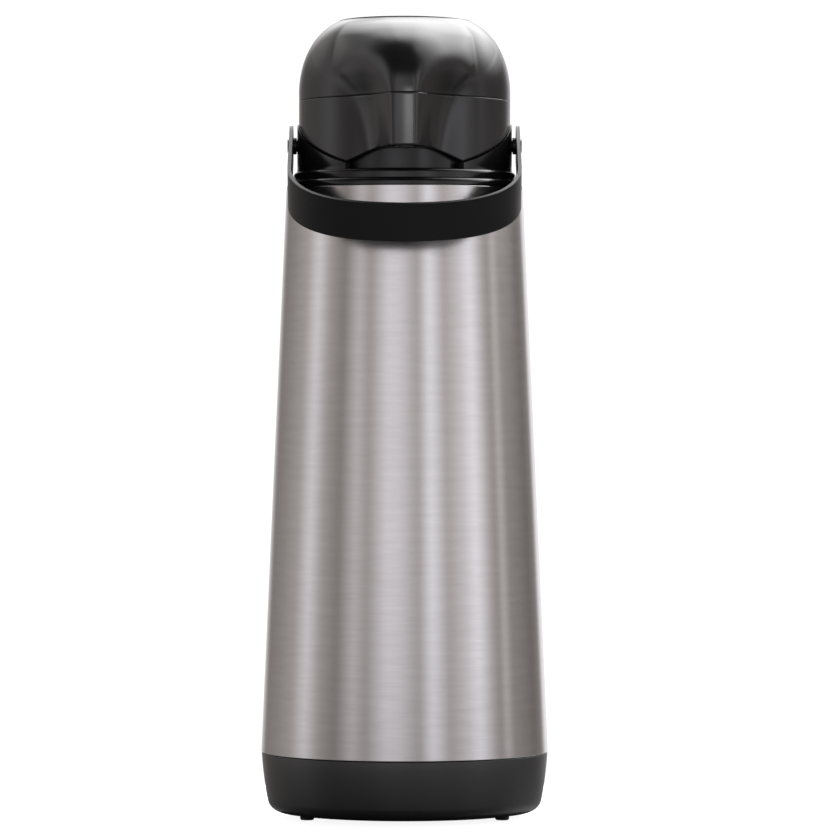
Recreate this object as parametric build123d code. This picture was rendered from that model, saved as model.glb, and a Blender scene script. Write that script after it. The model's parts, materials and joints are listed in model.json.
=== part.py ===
from build123d import *
from math import acos, cos, degrees, radians, sin, sqrt, tan
import os

# Thermal airpot: glass vacuum flask in a steel shell, with a pump head and a swing handle.
# Origin at the centre of the base on the table, +Z up, spout towards -Y. Sizes in mm.

# Driving sizes
total_height = 395.0
shell_bottom_z = 31.5
shell_top_z = 310.3
shell_bottom_radius = 71.2
shell_top_radius = 58.7
shell_wall = 0.6
plastic_wall = 2.2

# Clearances
ear_gap = 0.4
slide_gap = 0.3
pin_gap = 0.05
drop_in_gap = 0.2

# Base
foot_height = 2.0
foot_radius = 3.5
foot_edge_round = 0.6
foot_peg_radius = 1.6
foot_pocket = 0.6
foot_circle_radius = 57.0
foot_angle = 33.0
base_floor = 3.0
base_foot_inset = 4.3
base_waist_inset = 1.35
base_waist_z = 17.0
base_waist_round = 40.0
base_corner = 6.5
base_inner_corner = 4.0
base_wall = 2.5
base_spigot_height = 7.0
base_spigot_wall = 2.0
base_rib_height = 5.0

# Glass flask
flask_radius = 56.0
flask_neck_radius = 38.0
glass_wall = 1.6
vacuum_gap = 2.2
flask_bottom_z = 12.0
flask_shoulder_z = 262.0
flask_neck_z = 285.0
flask_lip_z = shell_top_z - 2.3
flask_lip = 2.0
flask_corner = 22.0
flask_shoulder_round = 18.0
flask_neck_round = 6.0
lip_round = 0.7
seat_inner_radius = 36.0
seat_width = 23.0
seat_height = 16.0
pad_radius = 5.0
pad_z = 150.0
pad_count = 3

# Collar
shell_rim_round = 1.2
collar_flange_radius = shell_top_radius - 0.5
collar_rib_height = 4.2
collar_rib_count = 2
collar_rib_step = 2.2
collar_rib_draft = 0.6
lower_rib_round = 2.4
upper_rib_round = 2.0
panel_foot_height = 1.2
panel_flare_height = 4.6
panel_flare_round = 6.0
panel_overlap = 2.0
ear_radius = 53.3
ear_thickness = 4.1
ear_panel_half_angle = 34.0
ear_tip_radius = 10.9
ear_slope = 27.0
front_cut_half_width = 28.8
throat_radius = 31.5
collar_floor = 2.5
gasket_height = 3.0
gasket_overlap = 1.5
neck_rim = 2.0
neck_rim_depth = 3.0
collar_spigot_depth = 6.3
collar_spigot_wall = 2.0
collar_spigot_step = 1.6

# Handle
pivot_z = 332.1
handle_reach = 90.0
handle_drop = 27.6
handle_outer_half = 58.0
strap_width = 20.0
strap_thickness = 1.8
strap_front_bow = 4.0
strap_corner = 38.0
pin_radius = 3.0
pin_boss_radius = 4.2

# Head
head_radius = 52.5
seam_z = 354.0
dome_start_z = 358.0
dome_radial = 26.9
dome_rise = 37.0
neck_skirt_radius = 46.6
underside_z = 328.5
arch_half_width = 14.0
arch_end_z = 322.0
arch_round = 8.0
nose_root_sink = 1.0
nose_tip_round = 1.4
nose_back = 12.0
window_half_width = 8.0
nozzle_y = -65.0
nozzle_wall = 1.7
nozzle_drop = 0.4
nozzle_height = 5.0
nozzle_flange = 1.2

# Pump
button_radius = 32.8
button_stroke = 22.0
button_skirt = 17.0
button_crown = 0.7
button_rim_round = 1.0
sleeve_margin = 5.0
plug_floor_z = 302.0
plug_gap = 0.7
plug_wall = 2.5
plug_rim = 4.0
plug_corner = 1.5
stopper_gasket_width = 3.5
stopper_gasket_height = 2.5
base_plate = 2.5
hub_wall = 2.0
dip_socket = 6.0
dip_socket_wall = 3.5
dip_insert = 4.0
air_hole_radius = 1.5
air_hole_circle = 18.0
air_hole_count = 6
boss_circle_radius = 39.0
boss_radius = 4.0
screw_radius = 1.5
screw_head_radius = 2.8
screw_head_height = 1.5
screw_count = 4
screw_engagement = 9.0
cap_screw_engagement = 1.2
plunger_hub_radius = 8.0
seat_plate_z = 338.0
seat_overhang = 3.0
tube_slot_half_width = 5.0
valve_y = 12.0
valve_radius = 6.0
valve_stem_radius = 1.2
valve_thickness = 1.2
bellows_folds = 6
bellows_wall = 1.0
bellows_outer_radius = 32.3
bellows_inner_radius = 26.0
bellows_bead = 1.0
spring_radius = 16.0
spring_wire = 0.8
spring_turns = 7
tube_radius = 3.5
tube_bore = 2.5
dip_radius = 4.0
dip_bore = 3.0
dip_clearance = 16.0
ball_radius = 3.0
ball_seat_radius = 2.2
cage_radius = 6.0
cage_height = 10.0
cage_floor = 1.2
cage_clearance = 0.6
tube_rise = 4.2
tube_climb = 17.5
tube_bend = 5.5

# Derived levels and radii
rib_top_z = shell_top_z + collar_rib_count * collar_rib_height
ear_inner_radius = ear_radius - ear_thickness
pocket_radius = ear_inner_radius - ear_gap
gasket_top_z = flask_lip_z + gasket_height
collar_floor_z = gasket_top_z + collar_floor
stopper_z = collar_floor_z + stopper_gasket_height
plate_bottom_z = stopper_z + base_plate
plate_top_z = plate_bottom_z + base_plate
head_floor_z = plate_top_z + base_plate
skirt_inner_radius = neck_skirt_radius - plastic_wall
plug_radius = throat_radius - plug_gap
opening_radius = button_radius + slide_gap
bellows_bottom_z = seat_plate_z + base_plate
button_rim_z = total_height - button_crown
plunger_top_z = button_rim_z - button_skirt
plunger_bottom_z = plunger_top_z - plastic_wall
arm_inner_half = handle_outer_half - strap_thickness
dip_top_z = plug_floor_z + dip_insert
cage_top_z = dip_top_z + cage_height
sleeve_depth = button_stroke + sleeve_margin
base_floor_z = foot_height + base_floor
collar_spigot_radius = ear_inner_radius + collar_spigot_step
nozzle_radius = tube_radius + nozzle_wall
far = 90.0
above = total_height + 5.0


def rounded_face(corners):
    """A closed outline from (r, z, corner radius) points."""
    face = make_face(Polyline(*[(r, z) for r, z, _ in corners], close=True))
    for r, z, radius in corners:
        if radius > 0:
            corner = face.vertices().sort_by_distance((r, z, 0))[0]
            face = fillet(corner, radius)
    return face


def turned(corners):
    """An outline in (r, z) turned about the airpot's axis."""
    return revolve(Plane.XZ * rounded_face(corners), Axis.Z)


def disc(radius, low, high, x=0.0, y=0.0):
    return Pos(x, y, (low + high) / 2) * Cylinder(radius, high - low)


def ring(inner, outer, low, high):
    return disc(outer, low, high) - disc(inner, low, high)


def block(x0, x1, y0, y1, z0, z1):
    centre = Pos((x0 + x1) / 2, (y0 + y1) / 2, (z0 + z1) / 2)
    return centre * Box(x1 - x0, y1 - y0, z1 - z0)


def across(face, half_length):
    """A (y, z) outline drawn right across the pot along X."""
    return extrude(Plane.YZ * face, half_length, both=True)


def polar(radius, angle):
    return radius * cos(radians(angle)), radius * sin(radians(angle))


# The ears' roof line in side view: a round tip over the pivot and two slopes
def roof(offset):
    tip = ear_tip_radius + offset
    y_tip = tip * sin(radians(ear_slope))
    z_tip = pivot_z + tip * cos(radians(ear_slope))
    z_end = z_tip - (far - y_tip) * tan(radians(ear_slope))
    points = [(-far, z_end), (-y_tip, z_tip), (y_tip, z_tip), (far, z_end)]
    low = z_end - far
    slopes = make_face(Polyline(*points, (far, low), (-far, low), close=True))
    return across(slopes + Pos(0, pivot_z) * Circle(tip), far)


# The arch under the spout in front view, open below
def arch(offset):
    top = underside_z + offset
    side = front_cut_half_width + offset
    shoulder = arch_half_width + offset
    low = rib_top_z - far
    corners = [
        (-side, low, 0),
        (-side, arch_end_z + offset, 0),
        (-shoulder, top, arch_round),
        (shoulder, top, arch_round),
        (side, arch_end_z + offset, 0),
        (side, low, 0),
    ]
    return extrude(Plane.XZ * rounded_face(corners), far)


# Base
def make_base_cup():
    spigot = shell_bottom_radius - shell_wall - drop_in_gap
    inner = spigot - base_spigot_wall
    spigot_z = shell_bottom_z + base_spigot_height
    cup = turned([
        (0, foot_height, 0),
        (shell_bottom_radius - base_foot_inset, foot_height, base_corner),
        (shell_bottom_radius - base_waist_inset, base_waist_z, base_waist_round),
        (shell_bottom_radius - drop_in_gap, shell_bottom_z, 0),
        (spigot, shell_bottom_z, 0),
        (spigot - drop_in_gap, spigot_z, 0),
        (inner, spigot_z, 0),
        (inner, shell_bottom_z, 0),
        (shell_bottom_radius - base_foot_inset - base_wall, base_floor_z, base_inner_corner),
        (0, base_floor_z, 0),
    ])
    for x, y in foot_places():
        cup -= disc(foot_radius + drop_in_gap, foot_height, foot_height + foot_pocket, x, y)
        cup -= disc(foot_peg_radius, foot_height, base_floor_z, x, y)
    rib_outer = seat_inner_radius - drop_in_gap
    return cup + ring(rib_outer - base_wall, rib_outer, base_floor_z, base_floor_z + base_rib_height)


def foot_places():
    angles = [foot_angle, 180 - foot_angle, 180 + foot_angle, 360 - foot_angle]
    return [polar(foot_circle_radius, angle) for angle in angles]


def make_foot(x, y):
    pad = disc(foot_radius, 0, foot_height + foot_pocket, x, y)
    pad = fillet(pad.edges().group_by(Axis.Z)[0], foot_edge_round)
    return pad + disc(foot_peg_radius, foot_height, base_floor_z, x, y)


# Glass flask
def flask_body(inset, top):
    """The solid inside a glass wall that lies inset from the flask's outside."""
    body = flask_radius - inset
    neck = flask_neck_radius - inset
    bottom = flask_bottom_z + inset
    drop = inset / 2
    return turned([
        (0, bottom, 0),
        (body, bottom, flask_corner - inset),
        (body, flask_shoulder_z - drop, flask_shoulder_round - inset),
        (neck, flask_neck_z - drop, flask_neck_round + inset),
        (neck, top, 0),
        (0, top, 0),
    ])


def make_outer_glass():
    top = flask_lip_z - flask_lip
    return flask_body(0, top) - flask_body(glass_wall, top)


def make_inner_glass():
    gap = glass_wall + vacuum_gap
    lip = disc(flask_neck_radius, flask_lip_z - flask_lip, flask_lip_z)
    glass = flask_body(gap, flask_lip_z) + lip
    glass = fillet(glass.edges().group_by(Axis.Z)[-1], lip_round)
    return glass - flask_body(gap + glass_wall, flask_lip_z + flask_lip)


def make_spacer_pads():
    inner = flask_radius - glass_wall - vacuum_gap
    outer = flask_radius - glass_wall
    band = ring(inner, outer, pad_z - pad_radius, pad_z + pad_radius)
    pads = []
    for index in range(pad_count):
        turn = Rot(0, 0, 90 + index * 360 / pad_count)
        punch = Pos(flask_radius, 0, pad_z) * Rot(0, 90, 0) * Cylinder(pad_radius, flask_radius)
        pads.append(turn * (band & punch))
    return Compound(children=[pad.solid() for pad in pads])


def make_flask_seat():
    outer = seat_inner_radius + seat_width
    cushion = ring(seat_inner_radius, outer, base_floor_z, base_floor_z + seat_height)
    return cushion - flask_body(0, flask_lip_z)


def make_neck_gasket():
    bore = flask_neck_radius - 2 * glass_wall - vacuum_gap + lip_round
    return ring(bore, flask_neck_radius + gasket_overlap, flask_lip_z, gasket_top_z)


# Steel shell
def make_body_shell():
    flange = collar_spigot_radius + drop_in_gap
    return turned([
        (shell_bottom_radius, shell_bottom_z, 0),
        (shell_top_radius, shell_top_z, shell_rim_round),
        (flange, shell_top_z, 0),
        (flange, shell_top_z - shell_wall, 0),
        (shell_top_radius - shell_wall, shell_top_z - shell_wall, shell_rim_round - shell_wall),
        (shell_bottom_radius - shell_wall, shell_bottom_z, 0),
    ])


# Collar
def make_collar():
    spigot = collar_spigot_radius
    rim_inner = flask_neck_radius + gasket_overlap
    rim_outer = rim_inner + neck_rim
    rim_z = flask_lip_z - neck_rim_depth
    rib_z = shell_top_z + collar_rib_height
    lower_rib = collar_flange_radius - collar_rib_draft
    upper_rib = lower_rib - collar_rib_step
    body = turned([
        (collar_flange_radius, shell_top_z, 0),
        (lower_rib, rib_z, lower_rib_round),
        (upper_rib, rib_z, 0),
        (upper_rib - collar_rib_draft, rib_top_z, upper_rib_round),
        (ear_inner_radius, rib_top_z, 0),
        (ear_inner_radius, collar_floor_z, 0),
        (throat_radius, collar_floor_z, 0),
        (throat_radius, gasket_top_z, 0),
        (rim_inner, gasket_top_z, 0),
        (rim_inner, rim_z, 0),
        (rim_outer, rim_z, 0),
        (rim_outer, gasket_top_z, 0),
        (spigot - collar_spigot_wall, gasket_top_z, 0),
        (spigot - collar_spigot_wall, shell_top_z - collar_spigot_depth, 0),
        (spigot, shell_top_z - collar_spigot_depth, 0),
        (spigot, shell_top_z, 0),
    ])
    # the side panels flare smoothly over the ribs
    flare = turned([
        (ear_inner_radius, shell_top_z, 0),
        (collar_flange_radius, shell_top_z, 0),
        (collar_flange_radius, shell_top_z + panel_foot_height, 0),
        (ear_radius + 1.0, shell_top_z + panel_flare_height, panel_flare_round),
        (ear_radius, rib_top_z + panel_overlap, 0),
        (ear_inner_radius, rib_top_z + panel_overlap, 0),
    ])
    half = ear_radius * sin(radians(ear_panel_half_angle))
    body += flare & block(-far, far, -half, half, shell_top_z, rib_top_z + panel_overlap)
    ears = ring(ear_inner_radius, ear_radius, collar_floor_z, above) & roof(0)
    cut = front_cut_half_width
    ears -= block(-cut, cut, -far, 0, rib_top_z, above)
    body += ears
    bore = Pos(0, 0, pivot_z) * Rot(0, 90, 0) * Cylinder(pin_radius + pin_gap, 2 * far)
    return body - bore


# Handle
def strap_line(half, reach):
    """Half the strap's outline, seen square on: straight arm, wide corner, bowed front."""
    start = (half, 0)
    corner_start = (half, reach - strap_front_bow - strap_corner)
    side = Line(start, corner_start)
    # the bend leaves the arm along it, rounds the corner and settles into the bowed front
    bend = Bezier(
        corner_start,
        (half, reach - strap_front_bow - strap_corner * 0.35),
        (half - strap_corner * 0.42, reach - strap_front_bow * 0.55),
        (half - strap_corner * 0.95, reach - strap_front_bow * 0.28),
        (0, reach),
    )
    return side, bend


def strap_area(half, reach):
    side, bend = strap_line(half, reach)
    right = make_face([side, bend, Line((0, reach), (0, 0)), Line((0, 0), (half, 0))])
    return right + mirror(right, Plane.YZ)


def make_handle_band():
    outer = strap_area(handle_outer_half, handle_reach)
    inner = strap_area(arm_inner_half, handle_reach - strap_thickness)
    band = extrude(outer, strap_width / 2, both=True) - extrude(inner, strap_width / 2, both=True)
    # round ends about the pivot
    heel = Rot(0, 90, 0) * Cylinder(strap_width / 2, 2 * handle_outer_half)
    heel -= Rot(0, 90, 0) * Cylinder(strap_width / 2, 2 * arm_inner_half)
    band += heel
    band -= Rot(0, 90, 0) * Cylinder(pin_radius, 2 * far)
    return handle_place() * band


def handle_place():
    # the flat outline points forward and down at rest
    return Pos(0, 0, pivot_z) * Rot(handle_drop, 0, 0) * Rot(0, 0, 180)


def make_handle_pin(side):
    boss_start = ear_radius + slide_gap
    pin_start = ear_inner_radius + drop_in_gap
    shaft = Pos((pin_start + handle_outer_half) / 2, 0, 0)
    shaft *= Rot(0, 90, 0) * Cylinder(pin_radius, handle_outer_half - pin_start)
    boss = Pos((boss_start + arm_inner_half) / 2, 0, 0)
    boss *= Rot(0, 90, 0) * Cylinder(pin_boss_radius, arm_inner_half - boss_start)
    pin = Pos(0, 0, pivot_z) * (shaft + boss)
    return pin if side > 0 else mirror(pin, Plane.YZ)


# Head shells
def dome_rim_z(inset, radius):
    share = (radius - (head_radius - dome_radial)) / (dome_radial - inset)
    return dome_start_z + (dome_rise - inset) * sqrt(1 - share ** 2)


def dome_solid(inset, low):
    """The head's round body above a level, inset from its outside."""
    centre_r = head_radius - dome_radial
    wide = dome_radial - inset
    tall = dome_rise - inset
    end_angle = degrees(acos((opening_radius - centre_r) / wide))
    arc = EllipticalCenterArc((centre_r, dome_start_z), wide, tall, 0, arc_size=end_angle)
    top = arc @ 1
    start = arc @ 0
    outline = Polyline((top.X, top.Y), (0, top.Y), (0, low), (start.X, low), (start.X, start.Y))
    return revolve(Plane.XZ * make_face([*arc.edges(), *outline.edges()]), Axis.Z)


# The spout column: plan sections from its flat underside up to where it sinks into the dome
nose_levels = [
    # height, depth in front of the axis, half widths of the face, waist and root
    (underside_z, 74.5, 6.5, 11.0, 17.0),
    (342.0, 75.3, 7.0, 12.5, 20.5),
    (seam_z, 75.5, 7.5, 14.5, 25.0),
    (361.0, 74.7, 8.5, 18.0, 29.0),
    (368.0, 72.3, 10.5, 23.0, 34.0),
    (375.0, 68.0, 12.5, 27.5, 38.0),
    (381.0, 62.0, 14.0, 30.0, 39.0),
    (386.0, 54.0, 14.5, 29.5, 36.0),
    (389.5, 45.5, 14.0, 25.5, 31.0),
    (392.5, 36.4, 12.0, 18.0, 22.0),
]


def round_radius(z):
    """The head's radius at a level."""
    share = max(0.0, z - dome_start_z) / dome_rise
    return head_radius - dome_radial + dome_radial * sqrt(1 - share ** 2)


def nose_section(z, depth, face, waist, root, inset):
    # the root lies just inside the round head, so the column grows out of it
    hip = sqrt((round_radius(z) - nose_root_sink) ** 2 - root ** 2)
    depth -= inset
    root -= inset
    waist -= inset
    face -= inset * 0.4
    back = hip - nose_back
    middle = hip + (depth - hip) * 0.45
    corner = depth - nose_tip_round
    curve = Spline(
        (-root, -hip),
        (-waist, -middle),
        (-face, -corner),
        (0, -depth),
        (face, -corner),
        (waist, -middle),
        (root, -hip),
    )
    frame_line = Polyline((root, -hip), (root, -back), (-root, -back), (-root, -hip))
    return make_face([*curve.edges(), *frame_line.edges()])


def nose_solid(inset, lift):
    sections = []
    for z, depth, face, waist, root in nose_levels:
        drop = 0 if z < seam_z else inset * 0.6
        section = nose_section(z, depth, face, waist, root, inset)
        sections.append(Plane.XY.offset(z + lift - drop) * section)
    return loft(sections)


def head_outside():
    return dome_solid(0, rib_top_z + ear_gap) + nose_solid(0, 0)


def boss_places():
    return [polar(boss_circle_radius, 45 + index * 360 / screw_count) for index in range(screw_count)]


def make_head_lower(outside):
    bottom = rib_top_z + ear_gap
    inner_wall = head_radius - plastic_wall
    body = outside - block(-far, far, -far, far, seam_z, above)
    body += disc(neck_skirt_radius, collar_floor_z + ear_gap, bottom)
    # the core, stepped round the ring that the pump's plate is screwed to
    body -= disc(skirt_inner_radius, collar_floor_z, plate_top_z)
    body -= disc(boss_circle_radius - boss_radius - drop_in_gap, plate_top_z, head_floor_z)
    body -= disc(skirt_inner_radius, head_floor_z, seam_z)
    # the space between the inner skirt and the outer wall
    space = ring(neck_skirt_radius, inner_wall, bottom + plastic_wall, seam_z)
    space -= roof(ear_gap + plastic_wall)
    space -= arch(plastic_wall)
    body -= space
    body -= disc(inner_wall, pivot_z + ear_tip_radius + 2 * plastic_wall, seam_z)
    # the spout column's hollow and the window the coffee tube comes through
    column = nose_solid(plastic_wall, plastic_wall)
    body -= column & block(-far, far, -far, -neck_skirt_radius, underside_z, above)
    half = window_half_width
    body -= block(-half, half, -neck_skirt_radius - plastic_wall, 0, underside_z + plastic_wall, seam_z)
    # pockets that the collar's ears fill, and the arch under the spout
    body -= roof(ear_gap) - disc(pocket_radius, 0, above)
    body -= arch(0) - disc(neck_skirt_radius, 0, above)
    body -= disc(nozzle_radius, underside_z, underside_z + plastic_wall, 0, nozzle_y)
    for x, y in boss_places():
        body -= disc(screw_radius + drop_in_gap, plate_top_z, head_floor_z, x, y)
    return body.solids().sort_by(SortBy.VOLUME)[-1]


def make_head_upper(outside):
    body = outside & block(-far, far, -far, far, seam_z, above)
    inner = dome_solid(plastic_wall, seam_z)
    inner += nose_solid(plastic_wall, 0) & block(-far, far, -far, 0, seam_z, above)
    body -= inner
    sleeve_low = dome_rim_z(0, opening_radius) - sleeve_depth
    extras = ring(opening_radius, opening_radius + plastic_wall, sleeve_low, above)
    for x, y in boss_places():
        extras += disc(boss_radius, head_floor_z, above, x, y)
    body += extras & dome_solid(plastic_wall / 4, head_floor_z)
    body -= disc(opening_radius, seam_z, above)
    for x, y in boss_places():
        body -= disc(screw_radius, head_floor_z, head_floor_z + screw_engagement, x, y)
    return body


# Pump
def make_pump_base():
    floor_top = plug_floor_z + base_plate
    socket = dip_radius + dip_socket_wall
    hub = cage_radius + hub_wall
    rim = throat_radius + plug_rim
    plate = skirt_inner_radius - drop_in_gap
    bore = plug_radius - plug_wall
    base = turned([
        (dip_radius, plug_floor_z - dip_socket, 0),
        (socket, plug_floor_z - dip_socket, 0),
        (socket, plug_floor_z, 0),
        (plug_radius, plug_floor_z, plug_corner),
        (plug_radius, stopper_z, 0),
        (rim, stopper_z, 0),
        (rim, plate_bottom_z, 0),
        (plate, plate_bottom_z, 0),
        (plate, plate_top_z, 0),
        (bore, plate_top_z, 0),
        (bore, floor_top, 0),
        (hub, floor_top, 0),
        (hub, plate_top_z, 0),
        (tube_radius, plate_top_z, 0),
        (tube_radius, cage_top_z, 0),
        (cage_radius, cage_top_z, 0),
        (cage_radius, dip_top_z, 0),
        (dip_radius, dip_top_z, 0),
    ])
    for index in range(air_hole_count):
        x, y = polar(air_hole_circle, index * 360 / air_hole_count)
        base -= disc(air_hole_radius, plug_floor_z, floor_top, x, y)
    for x, y in boss_places():
        base -= disc(screw_radius + drop_in_gap, plate_bottom_z, plate_top_z, x, y)
    return base


def make_bellows_seat():
    outer = plug_radius + seat_overhang
    half = tube_slot_half_width
    seat = disc(outer, plate_top_z, bellows_bottom_z)
    seat -= disc(outer - plastic_wall, plate_top_z, seat_plate_z)
    seat -= block(-half, half, -far, -air_hole_circle, plate_top_z + base_plate, seat_plate_z)
    return seat - disc(valve_stem_radius, seat_plate_z, bellows_bottom_z, 0, valve_y)


def make_air_valve():
    flap = disc(valve_radius, seat_plate_z - valve_thickness, seat_plate_z, 0, valve_y)
    return flap + disc(valve_stem_radius, seat_plate_z, bellows_bottom_z, 0, valve_y)


def make_bellows():
    pitch = (plunger_bottom_z - bellows_bottom_z) / bellows_folds
    outer_points = []
    inner_points = []
    for fold in range(bellows_folds):
        base = bellows_bottom_z + fold * pitch
        outer_points.append((bellows_inner_radius + bellows_bead, base))
        outer_points.append((bellows_outer_radius, base + pitch / 2))
        inner_points.append((bellows_inner_radius, base))
        inner_points.append((bellows_outer_radius - bellows_wall, base + pitch / 2))
    outer_points.append((bellows_inner_radius + bellows_bead, plunger_bottom_z))
    inner_points.append((bellows_inner_radius, plunger_bottom_z))
    outline = Polyline(*outer_points, *reversed(inner_points), close=True)
    return revolve(Plane.XZ * make_face(outline), Axis.Z)


def make_return_spring():
    low = bellows_bottom_z + spring_wire
    high = plunger_bottom_z - spring_wire
    path = Helix((high - low) / spring_turns, high - low, spring_radius)
    wire = sweep(Plane(path @ 0, z_dir=path % 0) * Circle(spring_wire), path=path, is_frenet=True)
    return Pos(0, 0, low) * wire


def make_plunger():
    plunger = disc(button_radius, plunger_bottom_z, plunger_top_z)
    plunger += disc(plunger_hub_radius, plunger_top_z, button_rim_z - plastic_wall)
    return plunger - disc(screw_radius, plunger_bottom_z, button_rim_z - plastic_wall)


def make_button_cap():
    cap = turned([
        (0, plunger_top_z, 0),
        (button_radius, plunger_top_z, 0),
        (button_radius, button_rim_z, button_rim_round),
        (button_radius * 0.6, total_height - button_crown / 5, button_radius),
        (0, total_height, 0),
    ])
    cavity = disc(button_radius - plastic_wall, plunger_top_z, button_rim_z - plastic_wall)
    return cap - cavity - disc(screw_radius, plunger_top_z, cap_screw_top())


def make_plunger_screw():
    head = disc(screw_head_radius, plunger_bottom_z - screw_head_height, plunger_bottom_z)
    return head + disc(screw_radius, plunger_bottom_z, cap_screw_top())


def cap_screw_top():
    return button_rim_z - plastic_wall + cap_screw_engagement


def make_head_screws():
    screws = []
    for x, y in boss_places():
        head = disc(screw_head_radius, plate_bottom_z - screw_head_height, plate_bottom_z, x, y)
        shank = disc(screw_radius, plate_bottom_z, head_floor_z + screw_engagement, x, y)
        screws.append((head + shank).solid())
    return Compound(children=screws)


def make_spout_tube():
    rise_z = plate_top_z + tube_rise
    crest_z = rise_z + tube_climb
    points = [(0, 0, cage_top_z), (0, 0, rise_z), (0, nozzle_y, crest_z), (0, nozzle_y, tube_end_z())]
    path = FilletPolyline(*points, radius=tube_bend)
    start = Plane(path @ 0, z_dir=path % 0)
    outside = sweep(start * Circle(tube_radius), path=path)
    return outside - sweep(start * Circle(tube_bore), path=path)


def tube_end_z():
    return underside_z + nozzle_drop


def make_spout_nozzle():
    flange_z = underside_z + plastic_wall
    low = underside_z - nozzle_drop
    high = flange_z + nozzle_height
    body = disc(nozzle_radius, low, high, 0, nozzle_y)
    body += disc(nozzle_radius + nozzle_flange, flange_z, flange_z + nozzle_flange, 0, nozzle_y)
    body -= disc(tube_radius, tube_end_z(), high, 0, nozzle_y)
    return body - disc(tube_bore, low, tube_end_z(), 0, nozzle_y)


def make_dip_tube():
    return ring(dip_bore, dip_radius, flask_bottom_z + dip_clearance + glass_wall, dip_top_z)


def make_ball_cage():
    cage = ring(ball_radius + cage_clearance, cage_radius, dip_top_z, cage_top_z)
    return cage + ring(ball_seat_radius, cage_radius, dip_top_z, dip_top_z + cage_floor)


def make_tilt_ball():
    rest = dip_top_z + cage_floor + sqrt(ball_radius ** 2 - ball_seat_radius ** 2) + slide_gap
    return Pos(0, 0, rest) * Sphere(ball_radius)


def make_stopper_gasket():
    outer = throat_radius + plug_rim
    return ring(outer - stopper_gasket_width, outer, collar_floor_z, stopper_z)


outside = head_outside()
nodes = {
    "base_cup": make_base_cup(),
    "flask_seat": make_flask_seat(),
    "flask_outer_glass": make_outer_glass(),
    "flask_inner_glass": make_inner_glass(),
    "flask_spacer_pads": make_spacer_pads(),
    "neck_gasket": make_neck_gasket(),
    "body_shell": make_body_shell(),
    "collar": make_collar(),
    "handle_band": make_handle_band(),
    "handle_pin_right": make_handle_pin(1),
    "handle_pin_left": make_handle_pin(-1),
    "head_lower": make_head_lower(outside),
    "head_upper": make_head_upper(outside),
    "head_screws": make_head_screws(),
    "pump_base": make_pump_base(),
    "stopper_gasket": make_stopper_gasket(),
    "bellows_seat": make_bellows_seat(),
    "air_valve": make_air_valve(),
    "bellows": make_bellows(),
    "return_spring": make_return_spring(),
    "plunger": make_plunger(),
    "plunger_screw": make_plunger_screw(),
    "button_cap": make_button_cap(),
    "spout_tube": make_spout_tube(),
    "spout_nozzle": make_spout_nozzle(),
    "dip_tube": make_dip_tube(),
    "ball_cage": make_ball_cage(),
    "tilt_ball": make_tilt_ball(),
}
for number, (x, y) in enumerate(foot_places(), start=1):
    nodes[f"foot_{number}"] = make_foot(x, y)

os.makedirs("parts", exist_ok=True)
for name, shape in nodes.items():
    export_step(shape, f"parts/{name}.step")
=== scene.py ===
import bpy
import bmesh
import json
from math import asin, atan2, cos, hypot, pi, radians, sin, sqrt, tan
from mathutils import Matrix, Vector

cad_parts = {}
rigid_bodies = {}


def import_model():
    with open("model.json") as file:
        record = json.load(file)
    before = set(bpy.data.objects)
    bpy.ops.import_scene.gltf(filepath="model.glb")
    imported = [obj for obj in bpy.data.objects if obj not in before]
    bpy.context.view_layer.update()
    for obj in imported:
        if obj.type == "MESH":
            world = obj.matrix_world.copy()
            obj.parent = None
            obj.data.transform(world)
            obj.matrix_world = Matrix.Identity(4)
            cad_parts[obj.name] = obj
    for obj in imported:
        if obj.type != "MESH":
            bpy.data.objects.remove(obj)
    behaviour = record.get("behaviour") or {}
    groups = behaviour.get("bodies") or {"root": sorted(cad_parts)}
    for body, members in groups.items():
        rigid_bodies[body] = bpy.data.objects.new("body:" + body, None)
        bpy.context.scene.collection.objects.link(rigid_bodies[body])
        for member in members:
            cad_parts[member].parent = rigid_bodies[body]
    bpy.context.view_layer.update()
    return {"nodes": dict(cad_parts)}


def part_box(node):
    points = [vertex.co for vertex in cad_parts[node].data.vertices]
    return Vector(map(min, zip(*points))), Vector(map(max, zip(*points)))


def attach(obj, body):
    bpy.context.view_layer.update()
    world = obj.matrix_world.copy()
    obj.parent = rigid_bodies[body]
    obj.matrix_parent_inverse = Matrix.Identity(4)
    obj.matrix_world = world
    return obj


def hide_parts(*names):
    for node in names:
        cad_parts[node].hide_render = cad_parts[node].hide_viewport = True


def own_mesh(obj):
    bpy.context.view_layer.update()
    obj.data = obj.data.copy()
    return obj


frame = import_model()
mm = 0.001


# small helpers for meshes

def finishPiece(name, bm, body, material, nodes=(), flip=False, sharpAngle=None):
    bmesh.ops.remove_doubles(bm, verts=bm.verts[:], dist=0.000004)
    bmesh.ops.recalc_face_normals(bm, faces=bm.faces[:])
    if flip:
        bmesh.ops.reverse_faces(bm, faces=bm.faces[:])
    mesh = bpy.data.meshes.new(name)
    bm.to_mesh(mesh)
    bm.free()
    mesh.shade_smooth()
    if sharpAngle:
        mesh.set_sharp_from_angle(angle=radians(sharpAngle))
    piece = bpy.data.objects.new(name, mesh)
    bpy.context.scene.collection.objects.link(piece)
    mesh.materials.append(material)
    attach(piece, body)
    if nodes:
        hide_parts(*nodes)
    print("piece", name, len(mesh.polygons), "faces")
    return piece


def outlineFace(bm, points, rounds=(), steps=5):
    # a closed outline in the XZ plane, in millimetres, with some corners rounded
    verts = [bm.verts.new((x * mm, 0, z * mm)) for x, z in points]
    face = bm.faces.new(verts)
    for index, offset in rounds:
        bmesh.ops.bevel(bm, geom=[verts[index]], offset=offset * mm, offset_type="OFFSET", segments=steps,
                        profile=0.5, affect="VERTICES", material=-1)
    return face


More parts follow.
